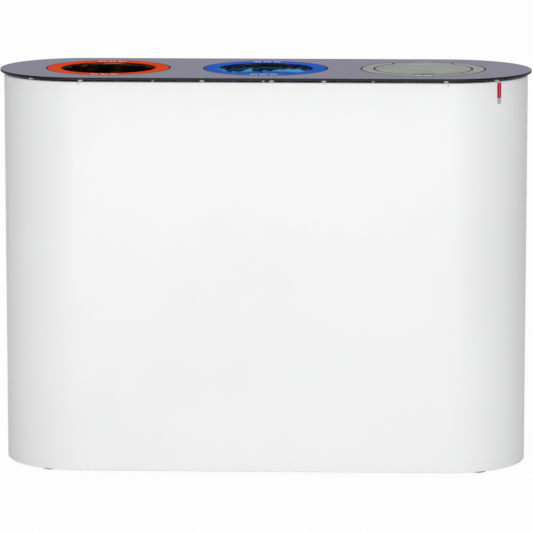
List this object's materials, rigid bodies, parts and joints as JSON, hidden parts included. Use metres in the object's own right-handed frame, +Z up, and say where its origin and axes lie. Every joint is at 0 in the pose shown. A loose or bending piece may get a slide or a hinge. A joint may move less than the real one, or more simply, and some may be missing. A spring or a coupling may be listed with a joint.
{
  "type": "recycling bin station",
  "caption": "Free-standing long waste sorting station with round ends, a hinged lid plate with coloured throw-in rings, a lifting flap and separate bins with liners inside.",
  "frame": {"origin": "on the floor under the middle of the body", "axes": "+Z up, +X along the body towards the ring with the flap, -Y towards the front"},
  "size_m": [1.2418, 0.388, 0.934],
  "materials": {
    "white_powder_coat": "smooth satin white powder coat",
    "galvanised_steel": "dull spangled zinc",
    "zinc_fasteners": "bright zinc plate",
    "black_plastic": "matte black",
    "white_plastic": "matte white",
    "clear_silicone": "translucent satin",
    "magnet_steel": "nickel plate",
    "hinge_steel": "brushed stainless",
    "bag_ring_steel": "black powder coat",
    "black_film": "glossy creased black film",
    "blue_film": "glossy creased translucent blue film",
    "grey_film": "glossy creased grey film",
    "lid_laminate": "anthracite compact laminate, matte top and black edge",
    "orange_plastic": "fine matte moulded orange",
    "blue_plastic": "fine matte moulded blue",
    "grey_plastic": "fine matte moulded grey",
    "red_label": "glossy red label",
    "silver_label": "satin silver label"
  },
  "bodies": {
    "housing": {"body_shell": "white_powder_coat", "floor_pan": "galvanised_steel", "divider_left": "galvanised_steel", "divider_right": "galvanised_steel", "bin_left": "galvanised_steel", "bin_middle": "galvanised_steel", "bin_right": "galvanised_steel", "divider_screws": "zinc_fasteners", "foot_studs": "zinc_fasteners", "foot_nuts": "zinc_fasteners", "hinge_rivets": "zinc_fasteners", "rim_rivets": "zinc_fasteners", "foot_pads": "black_plastic", "catch_blocks": "black_plastic", "rest_pads": "white_plastic", "gap_bumpers": "clear_silicone", "catch_magnets": "magnet_steel", "hinge_pins": "hinge_steel", "hinge_body_leaves": "hinge_steel", "bag_ring_left": "bag_ring_steel", "bag_ring_middle": "bag_ring_steel", "bag_ring_right": "bag_ring_steel", "liner_left": "black_film", "liner_middle": "blue_film", "liner_right": "grey_film", "tag_red_part": "red_label", "tag_silver_part": "silver_label"},
    "lid": {"top_plate": "lid_laminate", "throw_ring_left": "orange_plastic", "throw_ring_middle": "blue_plastic", "throw_ring_right": "grey_plastic", "flap_pins": "hinge_steel", "ring_washers": "zinc_fasteners", "ring_screws": "zinc_fasteners", "hinge_lid_leaves": "hinge_steel", "hinge_screws": "zinc_fasteners", "keeper_plates": "magnet_steel", "keeper_screws": "zinc_fasteners"},
    "flap": {"flap": "grey_plastic"}
  },
  "joints": [
    {"name": "lid_hinge", "type": "hinge", "parent": "housing", "child": "lid", "pos_m": [0, 0.1895, 0.9235], "axis": [-1, 0, 0], "range_deg": [0, 100]},
    {"name": "flap_hinge", "type": "hinge", "parent": "lid", "child": "flap", "pos_m": [0.368, 0.105, 0.9285], "axis": [-1, 0, 0], "range_deg": [0, 85]}
  ]
}
